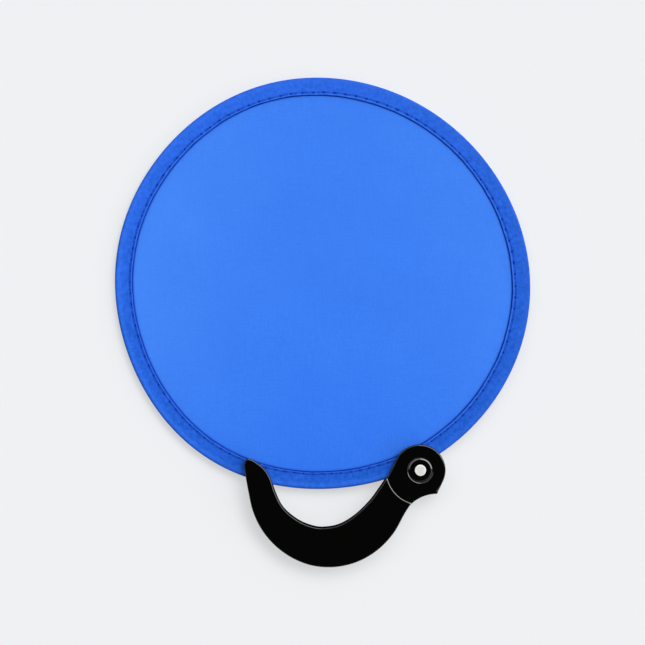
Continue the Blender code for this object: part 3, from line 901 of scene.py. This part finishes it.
def slot_outline():
    """What is hollow between the shells: inside of the wall, and open past the inner edge, tip and head."""
    fine = inset_line(outer_side(), SHELL_WALL)
    kept = [point for point in fine if clear_of_rim(point)]
    inner = kept[:-1:WALL_TRIES] + kept[-1:]
    first = (inner[1] - inner[0]).normalized()
    last = (inner[-1] - inner[-2]).normalized()
    across = SHELL_WALL + CUT_OVERRUN
    way_in = inner[0] - left_of(first) * across
    way_out = inner[-1] - left_of(last) * across
    left = -CRESCENT_REACH - CUT_OVERRUN - SHELL_WALL
    right = NIB_REACH + CUT_OVERRUN
    top = HEAD_RADIUS + HEAD_SPREAD + CUT_OVERRUN
    corners = [
        Vector((right, way_out.y, 0)),
        Vector((right, top, 0)),
        Vector((left, top, 0)),
        Vector((left, way_in.y, 0)),
    ]
    return inner + [way_out] + corners + [way_in]


def boss_centres():
    line = outer_side()
    lengths = np.cumsum([0] + [(b - a).length for a, b in zip(line, line[1:])])
    centres = []
    for share in BOSS_SHARES:
        i = int(np.searchsorted(lengths, share * lengths[-1]))
        way = (line[i] - line[i - 1]).normalized()
        centres.append(line[i] + left_of(way) * BOSS_INSET)
    return centres


def shell_hollow(name, side):
    """The slot behind a shell's face, less deep under the lower head, and clear of the bosses."""
    top = side * (CRESCENT_INNER + CUT_OVERRUN)
    hollow = prism(name + "_hollow", slot_outline(), -side * CUT_OVERRUN, side * CRESCENT_INNER)
    reach = STEP_RADIUS + INNER_STEP_LAP
    cut(hollow, turned(name + "_roof", ((reach, side * HEAD_INNER), (reach, top)), HEAD_STEPS))
    for centre in boss_centres():
        post = ((BOSS_RADIUS, -side * 2 * CUT_OVERRUN), (BOSS_RADIUS, top))
        cut(hollow, turned(name + "_boss", post, SMALL_STEPS, (centre.x, centre.y)))
    return hollow


def bore_cutter(name, side):
    """The bore for the spigot, whose edge has a flat facet."""
    bore = SPIGOT_RADIUS + SPIGOT_CLEARANCE
    wide = bore + BORE_FACET + EDGE_OVERRUN
    profile = (
        (bore, 0),
        (bore, side * (HEAD_HALF - FACET_SLOPE * BORE_FACET)),
        (bore + BORE_FACET, side * HEAD_HALF),
        (wide, side * HEAD_HALF),
    )
    above = [(wide, side * (HEAD_HALF + EDGE_OVERRUN / 2)), (wide, side * (CRESCENT_HALF + CUT_OVERRUN))]
    return turned(name + "_bore", rounded(profile, FACET_EDGE_RADIUS)[:-1] + above)


def shell(name, side, finish):
    """One moulded shell of the handle, hollow behind, with rounded edges and a step at the head."""
    outline = handle_outline()
    body = prism(name, outline, side * PARTING_HALF, side * CRESCENT_HALF)
    cut(body, shell_hollow(name, side))
    cut(body, bore_cutter(name, side))
    relief = relief_profile(side)
    relief += ((relief[-1][0], side * (CRESCENT_HALF + CUT_OVERRUN)),)
    cut(body, turned(name + "_relief", relief, HEAD_STEPS))
    cut(body, edge_cutter(name + "_edge", outline, side))
    cut(body, nib_cutter(name + "_nib", side))
    return finish_solid(body, hinge_matrix(), finish)


def hub_half(name, side, finish):
    """Flange over the rim, and the spigot that a shell turns on."""
    profile = (
        (HUB_RADIUS - MM, side * PARTING_HALF),
        (HUB_RADIUS, side * PARTING_HALF),
        (HUB_RADIUS, side * HUB_HALF),
        (SPIGOT_RADIUS, side * HUB_HALF),
        (SPIGOT_RADIUS, side * (SPIGOT_HALF - FACET_SLOPE * SPIGOT_FACET)),
        (SPIGOT_RADIUS - SPIGOT_FACET, side * SPIGOT_HALF),
        (SPIGOT_RADIUS - 2 * MM, side * SPIGOT_HALF),
    )
    body = turned(name, rounded(profile, FACET_EDGE_RADIUS))
    to_pivot = polar(pivot_distance(), PIVOT_DEGREES)
    angles = np.linspace(0, 2 * math.pi, MOUTH_STEPS, endpoint=False)
    radii = rim_radius(angles) + HUB_RIM_GAP
    rim = [Vector((r * math.cos(a), r * math.sin(a), 0)) - to_pivot for r, a in zip(radii, angles)]
    cut(body, prism(name + "_mouth", rim, -side * CUT_OVERRUN, side * HUB_INNER))
    bore = SHANK_RADIUS + SHANK_CLEARANCE
    depth = side * (HEAD_HALF + CUT_OVERRUN)
    cut(body, turned(name + "_bore", ((bore, -side * CUT_OVERRUN), (bore, depth)), SMALL_STEPS))
    if side < 0:
        recess = BURR_RADIUS + BURR_RECESS_CLEARANCE
        cut(body, turned(name + "_recess", ((recess, -burr_seat()), (recess, depth)), SMALL_STEPS))
    return finish_solid(body, pivot_matrix(), finish)


def burr_seat():
    return SPIGOT_HALF - BURR_THICKNESS - TAIL_HEIGHT - 2 * SEAT_GAP


def rivet(finish):
    """Rivet with a flat head inside a low rounded lip, and its spread tail."""
    seat = SPIGOT_HALF + SEAT_GAP
    tail_top = -burr_seat() - BURR_THICKNESS - 2 * SEAT_GAP
    crown = seat + RIVET_HEAD_HEIGHT
    profile = (
        (RIVET_HEAD_RADIUS / 3, crown - RIVET_LIP_RISE),
        (RIVET_HEAD_RADIUS - 2.2 * RIVET_LIP_WIDTH, crown - RIVET_LIP_RISE),
        (RIVET_HEAD_RADIUS - 1.6 * RIVET_LIP_WIDTH, crown - 2 * RIVET_LIP_RISE),
        (RIVET_HEAD_RADIUS - RIVET_LIP_WIDTH, crown),
        (RIVET_HEAD_RADIUS - RIVET_LIP_WIDTH / 3, crown - RIVET_LIP_RISE),
        (RIVET_HEAD_RADIUS, crown - RIVET_LIP_WIDTH / 2),
        (RIVET_HEAD_RADIUS, seat),
        (SHANK_RADIUS, seat),
        (SHANK_RADIUS, tail_top),
        (TAIL_RADIUS, tail_top),
        (TAIL_RADIUS, tail_top - TAIL_HEIGHT),
        (TAIL_RADIUS / 3, tail_top - TAIL_HEIGHT),
    )
    made = turned("rivet_metal", rounded(profile, SMALL_EDGE_RADIUS), SMALL_STEPS)
    finish_solid(made, pivot_matrix(), finish)
    centre = pivot_matrix().translation
    reach = np.array([(v.co - centre).xy.length for v in made.data.vertices])
    # The lip is painted paler: a painted highlight
    gloss_and_painted_highlight = slope(reach, RIVET_HEAD_RADIUS - 1.5 * RIVET_LIP_WIDTH, 0.5 * RIVET_LIP_WIDTH)
    add_shade(made, gloss_and_painted_highlight, 0 * reach)
    return made


def rivet_burr(finish):
    top = -burr_seat() - SEAT_GAP
    bottom = top - BURR_THICKNESS
    hole = SHANK_RADIUS + SHANK_CLEARANCE
    profile = ((hole, top), (BURR_RADIUS, top), (BURR_RADIUS, bottom), (hole, bottom))
    made = turned("burr_metal", rounded(profile, SMALL_EDGE_RADIUS / 2), SMALL_STEPS, bored=True)
    return finish_solid(made, pivot_matrix(), finish)


# Materials


class Graph:
    """Short way to write a tree of shader nodes."""

    def __init__(self, tree):
        self.tree = tree

    def add(self, kind, **settings):
        made = self.tree.nodes.new(kind)
        for name, value in settings.items():
            setattr(made, name, value)
        return made

    def link(self, value, socket):
        if isinstance(value, bpy.types.NodeSocket):
            self.tree.links.new(value, socket)
        else:
            socket.default_value = value

    def math(self, operation, a, b=0.0):
        made = self.add("ShaderNodeMath", operation=operation)
        self.link(a, made.inputs[0])
        self.link(b, made.inputs[1])
        return made.outputs[0]

    def total(self, first, *others):
        for other in others:
            first = self.math("ADD", first, other)
        return first

    def product(self, first, *others):
        for other in others:
            first = self.math("MULTIPLY", first, other)
        return first

    def spread(self, value, low, high, to_low, to_high, **settings):
        made = self.add("ShaderNodeMapRange", **settings)
        made.inputs["From Min"].default_value = low
        made.inputs["From Max"].default_value = high
        made.inputs["To Min"].default_value = to_low
        made.inputs["To Max"].default_value = to_high
        self.link(value, made.inputs["Value"])
        return made.outputs["Result"]

    def axes(self, place):
        made = self.add("ShaderNodeSeparateXYZ")
        self.link(place, made.inputs[0])
        return made.outputs

    def seen_by_camera(self):
        return self.add("ShaderNodeLightPath").outputs["Is Camera Ray"]

    def either(self, share, first, second):
        """The first shader, and as much of the second as the share says."""
        made = self.add("ShaderNodeMixShader")
        self.link(share, made.inputs[0])
        self.link(first, made.inputs[1])
        self.link(second, made.inputs[2])
        return made.outputs[0]


class Finish(Graph):
    """A material in the making."""

    def __init__(self, name):
        self.made = bpy.data.materials.new(name)
        self.made.use_nodes = True
        super().__init__(self.made.node_tree)
        self.shader = self.tree.nodes["Principled BSDF"]
        self.place = self.add("ShaderNodeTexCoord").outputs["Object"]

    def noise(self, scale, detail=2.0, roughness=0.5, stretch=(1, 1, 1), offset=(0, 0, 0)):
        moved = self.add("ShaderNodeMapping")
        moved.inputs["Scale"].default_value = stretch
        moved.inputs["Location"].default_value = offset
        self.link(self.place, moved.inputs["Vector"])
        made = self.add("ShaderNodeTexNoise")
        made.inputs["Scale"].default_value = scale
        made.inputs["Detail"].default_value = detail
        made.inputs["Roughness"].default_value = roughness
        self.link(moved.outputs[0], made.inputs["Vector"])
        return made.outputs["Fac"]

    def centred(self, value, share):
        """The value less its middle of a half, as a share of the tone."""
        return self.product(self.math("SUBTRACT", value, 0.5), share)

    def mottled(self, scale, share, **settings):
        return self.centred(self.noise(scale, **settings), share)

    def mix(self, share, a, b):
        made = self.add("ShaderNodeMix", data_type="RGBA")
        self.link(share, made.inputs[0])
        self.link(a, made.inputs[6])
        self.link(b, made.inputs[7])
        return made.outputs[2]

    def tone_slope(self, rise, sides, ends, lean=0.0):
        """How much paler the colour is than in the disc's middle, in shares at the rim: towards the far
        side, towards both sides, towards both ends, and towards the right."""
        x, y, _ = self.axes(self.place)
        across = self.math("DIVIDE", x, RIM_RADIUS)
        along = self.math("DIVIDE", self.math("SUBTRACT", y, disc_matrix().translation.y), RIM_RADIUS)
        return self.total(
            self.product(along, rise),
            self.product(across, lean),
            self.product(across, across, sides),
            self.product(along, along, ends),
        )

    def weave(self, pitch):
        """Over-and-under height of a plain weave."""
        x, y, _ = self.axes(self.place)
        across = self.math("SINE", self.product(x, math.pi / pitch))
        along = self.math("SINE", self.product(y, math.pi / pitch))
        return self.product(across, along)

    def attribute(self, name):
        return self.add("ShaderNodeAttribute", attribute_name=name).outputs["Fac"]

    def bump(self, height, distance, strength):
        made = self.add("ShaderNodeBump")
        made.inputs["Strength"].default_value = strength
        made.inputs["Distance"].default_value = distance
        self.link(height, made.inputs["Height"])
        self.link(made.outputs[0], self.shader.inputs["Normal"])

    def set(self, **values):
        for name, value in values.items():
            self.link(value, self.shader.inputs[name.replace("_", " ")])


def cloth_material():
    """Smooth plain weave, paler towards its sides and its far end, with fine slubs both ways."""
    nodes = Finish("blue_cloth_woven")
    grain = nodes.noise(900, 2, 0.6)
    slub = {"detail": 3, "roughness": 0.7}
    tone = nodes.total(
        nodes.tone_slope(rise=0.26, lean=-0.10, sides=0.52, ends=-0.16),
        nodes.mottled(30, 0.34, detail=3),
        nodes.mottled(110, 0.52, stretch=(1, 9, 1), offset=(3, 0, 0), **slub),
        nodes.mottled(110, 0.52, stretch=(9, 1, 1), offset=(0, 5, 0), **slub),
        nodes.centred(grain, 0.9),
        0.46,
    )
    colour = nodes.mix(tone, (0.032, 0.179, 0.865, 1), (0.059, 0.243, 0.935, 1))
    # Painted shade beside the hem
    colour = nodes.mix(nodes.attribute("shaded"), colour, (0.002, 0.032, 0.40, 1))
    nodes.set(Base_Color=colour, Roughness=nodes.spread(grain, 0.3, 0.7, 0.62, 0.78), Specular_IOR_Level=0.06)
    height = nodes.total(nodes.product(nodes.weave(0.28 * MM), 0.5), nodes.product(grain, 0.6))
    nodes.bump(height, 0.03 * MM, 0.5)
    return nodes.made


def tape_material():
    """Darker, softer tape, mottled, paler on its ridges, and with painted shade in its holes and folds."""
    nodes = Finish("blue_tape_woven")
    mottle = nodes.noise(420, 3, 0.65)
    grain = nodes.noise(1100, 2, 0.6)
    tone = nodes.total(
        nodes.tone_slope(rise=0.30, sides=-0.02, ends=0.02),
        nodes.mottled(60, 0.4, offset=(1, 2, 3)),
        nodes.centred(mottle, 2.1),
        nodes.centred(grain, 0.9),
        0.49,
    )
    colour = nodes.mix(tone, (0.011, 0.098, 0.565, 1), (0.029, 0.153, 0.850, 1))
    colour = nodes.mix(nodes.product(nodes.attribute("pale"), 0.6), colour, (0.055, 0.225, 0.93, 1))
    # Painted shade in the tape's holes, grooves and folds
    colour = nodes.mix(nodes.attribute("shaded"), colour, (0.0, 0.024, 0.36, 1))
    nodes.set(Base_Color=colour, Roughness=nodes.spread(grain, 0.3, 0.7, 0.68, 0.85), Specular_IOR_Level=0.06)
    height = nodes.total(
        nodes.product(nodes.weave(0.34 * MM), 0.4),
        nodes.product(mottle, 0.8),
        nodes.product(grain, 0.5),
    )
    nodes.bump(height, 0.05 * MM, 0.6)
    return nodes.made


def thread_material():
    """Spun thread, with painted shade where it goes into the needle holes."""
    nodes = Finish("blue_thread_spun")
    fibres = nodes.noise(2600, 2, 0.6)
    colour = nodes.mix(fibres, (0.010, 0.080, 0.52, 1), (0.034, 0.150, 0.80, 1))
    # Painted shade near the needle holes
    colour = nodes.mix(nodes.attribute("shaded"), colour, (0.0, 0.018, 0.28, 1))
    nodes.set(Base_Color=colour, Roughness=nodes.spread(fibres, 0.3, 0.7, 0.5, 0.7), Specular_IOR_Level=0.06)
    nodes.bump(fibres, 0.02 * MM, 0.5)
    return nodes.made


def plastic_material():
    """Black plastic, glossy on its faces and edges, and matt on the walls that stand upright."""
    nodes = Finish("black_plastic_moulded")
    haze = nodes.noise(70, 3, 0.5)
    peel = nodes.noise(420, 2, 0.5)
    facing = nodes.axes(nodes.add("ShaderNodeTexCoord").outputs["Normal"])
    gloss_and_painted_highlight = nodes.spread(nodes.math("ABSOLUTE", facing[2]), 0.04, 0.30, 0.0, 1.0)
    colour = nodes.mix(haze, (0.0014, 0.0014, 0.0013, 1), (0.0022, 0.0022, 0.0021, 1))
    nodes.set(Base_Color=colour, Roughness=nodes.spread(haze, 0.3, 0.7, 0.10, 0.15), Specular_IOR_Level=0.0)
    nodes.set(Coat_Weight=gloss_and_painted_highlight, Coat_IOR=1.7, Coat_Roughness=0.10)
    nodes.bump(peel, 0.01 * MM, 0.25)
    return nodes.made


def rivet_material():
    """Satin nickel, with a painted highlight on the lip where the tone is pale."""
    nodes = Finish("nickel_satin")
    streaks = nodes.noise(900, 3, 0.6, stretch=(1, 0.08, 1))
    spots = nodes.noise(700, 3, 0.6)
    colour = nodes.mix(spots, (0.80, 0.79, 0.76, 1), (0.90, 0.89, 0.86, 1))
    # Painted highlight on the lip
    colour = nodes.mix(nodes.attribute("pale"), colour, (1.0, 0.995, 0.98, 1))
    nodes.set(Base_Color=colour, Roughness=nodes.spread(streaks, 0.3, 0.7, 0.46, 0.62), Metallic=0.6)
    nodes.bump(nodes.total(streaks, nodes.product(spots, 0.5)), 0.012 * MM, 0.4)
    return nodes.made


def steel_material():
    """Rolled strip, with fine lines."""
    nodes = Finish("spring_steel_rolled")
    lines = nodes.noise(1500, 2, 0.6, stretch=(1, 1, 8))
    colour = nodes.mix(lines, (0.42, 0.42, 0.43, 1), (0.60, 0.60, 0.62, 1))
    nodes.set(Base_Color=colour, Roughness=nodes.spread(lines, 0.3, 0.7, 0.28, 0.4), Metallic=1.0)
    nodes.bump(lines, 0.01 * MM, 0.3)
    return nodes.made


# Studio


def camera():
    data = bpy.data.cameras.new("camera")
    data.lens = PHOTO_LENS_MM
    data.sensor_width = SENSOR_WIDTH_MM
    data.clip_end = 100
    made = bpy.data.objects.new("camera", data)
    made.location = CAMERA_PLACE
    bpy.context.scene.collection.objects.link(made)
    bpy.context.scene.camera = made


def floor():
    """Pale floor. The camera sees part of it at full brightness, so that the shadow on it stays light."""
    half = FLOOR_SIZE / 2
    corners = [(-half, -half, 0), (half, -half, 0), (half, half, 0), (-half, half, 0)]
    nodes = Finish("pale_floor")
    nodes.set(Base_Color=FLOOR_COLOUR, Roughness=0.9, Specular_IOR_Level=0.0)
    glow = nodes.add("ShaderNodeEmission")
    glow.inputs["Color"].default_value = FLOOR_COLOUR
    share = nodes.product(nodes.seen_by_camera(), FLOOR_GLOW_SHARE)
    surface = nodes.either(share, nodes.shader.outputs[0], glow.outputs[0])
    nodes.link(surface, nodes.tree.nodes["Material Output"].inputs["Surface"])
    mesh_object("floor", corners, [(0, 1, 2, 3)], nodes.made)


def world():
    """Studio light from soft boxes and dim walls. The camera sees the floor's colour in its place."""
    made = bpy.data.worlds.new("studio")
    bpy.context.scene.world = made
    made.use_nodes = True
    made.node_tree.nodes.clear()
    nodes = Graph(made.node_tree)
    x, y, z = nodes.axes(nodes.add("ShaderNodeTexCoord").outputs["Generated"])
    elevation = nodes.product(nodes.math("ARCSINE", z), 180 / math.pi)

    def towards(azimuth):
        turn = math.radians(azimuth)
        return nodes.total(nodes.product(x, math.cos(turn)), nodes.product(y, math.sin(turn)))

    def step(value, low, high, to_low=0.0, to_high=1.0):
        return nodes.spread(value, low, high, to_low, to_high, interpolation_type="SMOOTHSTEP")

    def soft_box(azimuth, half_width, blur, low, high, light):
        turned_by = nodes.math("ARCTAN2", towards(azimuth + 90), towards(azimuth))
        away = nodes.math("ABSOLUTE", nodes.product(turned_by, 180 / math.pi))
        return nodes.product(
            step(away, half_width - blur, half_width + blur, 1.0, 0.0),
            step(elevation, low - blur, low + blur),
            step(elevation, high - blur, high + blur, 1.0, 0.0),
            light,
        )

    level = nodes.math("SQRT", nodes.total(nodes.product(x, x), nodes.product(y, y)))
    brighter = nodes.total(nodes.math("DIVIDE", towards(WALL_AZIMUTH), level), 1.0)
    walls = nodes.product(brighter, step(elevation, *WALL_TOP, WALL_LIGHT, 0.0))
    light = nodes.add("ShaderNodeBackground")
    light.inputs["Color"].default_value = (1, 1, 1, 1)
    nodes.link(nodes.total(walls, *(soft_box(*box) for box in SOFT_BOXES)), light.inputs["Strength"])
    backdrop = nodes.add("ShaderNodeBackground")
    backdrop.inputs["Color"].default_value = FLOOR_COLOUR
    seen = nodes.either(nodes.seen_by_camera(), light.outputs[0], backdrop.outputs[0])
    nodes.link(seen, nodes.add("ShaderNodeOutputWorld").inputs["Surface"])


def dress():
    plastic = plastic_material()
    nickel = rivet_material()
    steel = steel_material()
    thread = thread_material()

    cloth = panel(cloth_material())
    hem = binding(tape_material())
    needle = stitches("needle_stitches", 1, thread)
    bobbin = stitches("bobbin_stitches", -1, thread)
    hub_front = hub_half("hub_front_moulded", 1, plastic)
    hub_rear = hub_half("hub_rear_moulded", -1, plastic)
    rivet_metal = rivet(nickel)
    burr_metal = rivet_burr(nickel)
    front = shell("handle_front_moulded", 1, plastic)
    rear = shell("handle_rear_moulded", -1, plastic)

    for piece, body, node, slot in (
        (cloth, "disc", "fabric_panel", "blue_cloth"),
        (hem, "disc", "rim_binding", "blue_tape"),
        (needle, "disc", "needle_thread", "blue_thread"),
        (bobbin, "disc", "bobbin_thread", "blue_thread"),
        (hub_front, "disc", "hub_front", "black_plastic"),
        (hub_rear, "disc", "hub_rear", "black_plastic"),
        (rivet_metal, "disc", "rivet", "nickel"),
        (burr_metal, "disc", "rivet_burr", "nickel"),
        (front, "handle", "handle_front_shell", "black_plastic"),
        (rear, "handle", "handle_rear_shell", "black_plastic"),
    ):
        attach(piece, body)
        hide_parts(node)
    for node in ("spring_hoop", "hoop_ferrule"):
        made = frame["nodes"][node]
        for place in made.material_slots:
            place.material = steel


bpy.context.scene.view_settings.view_transform = "Standard"
camera()
world()
floor()
dress()
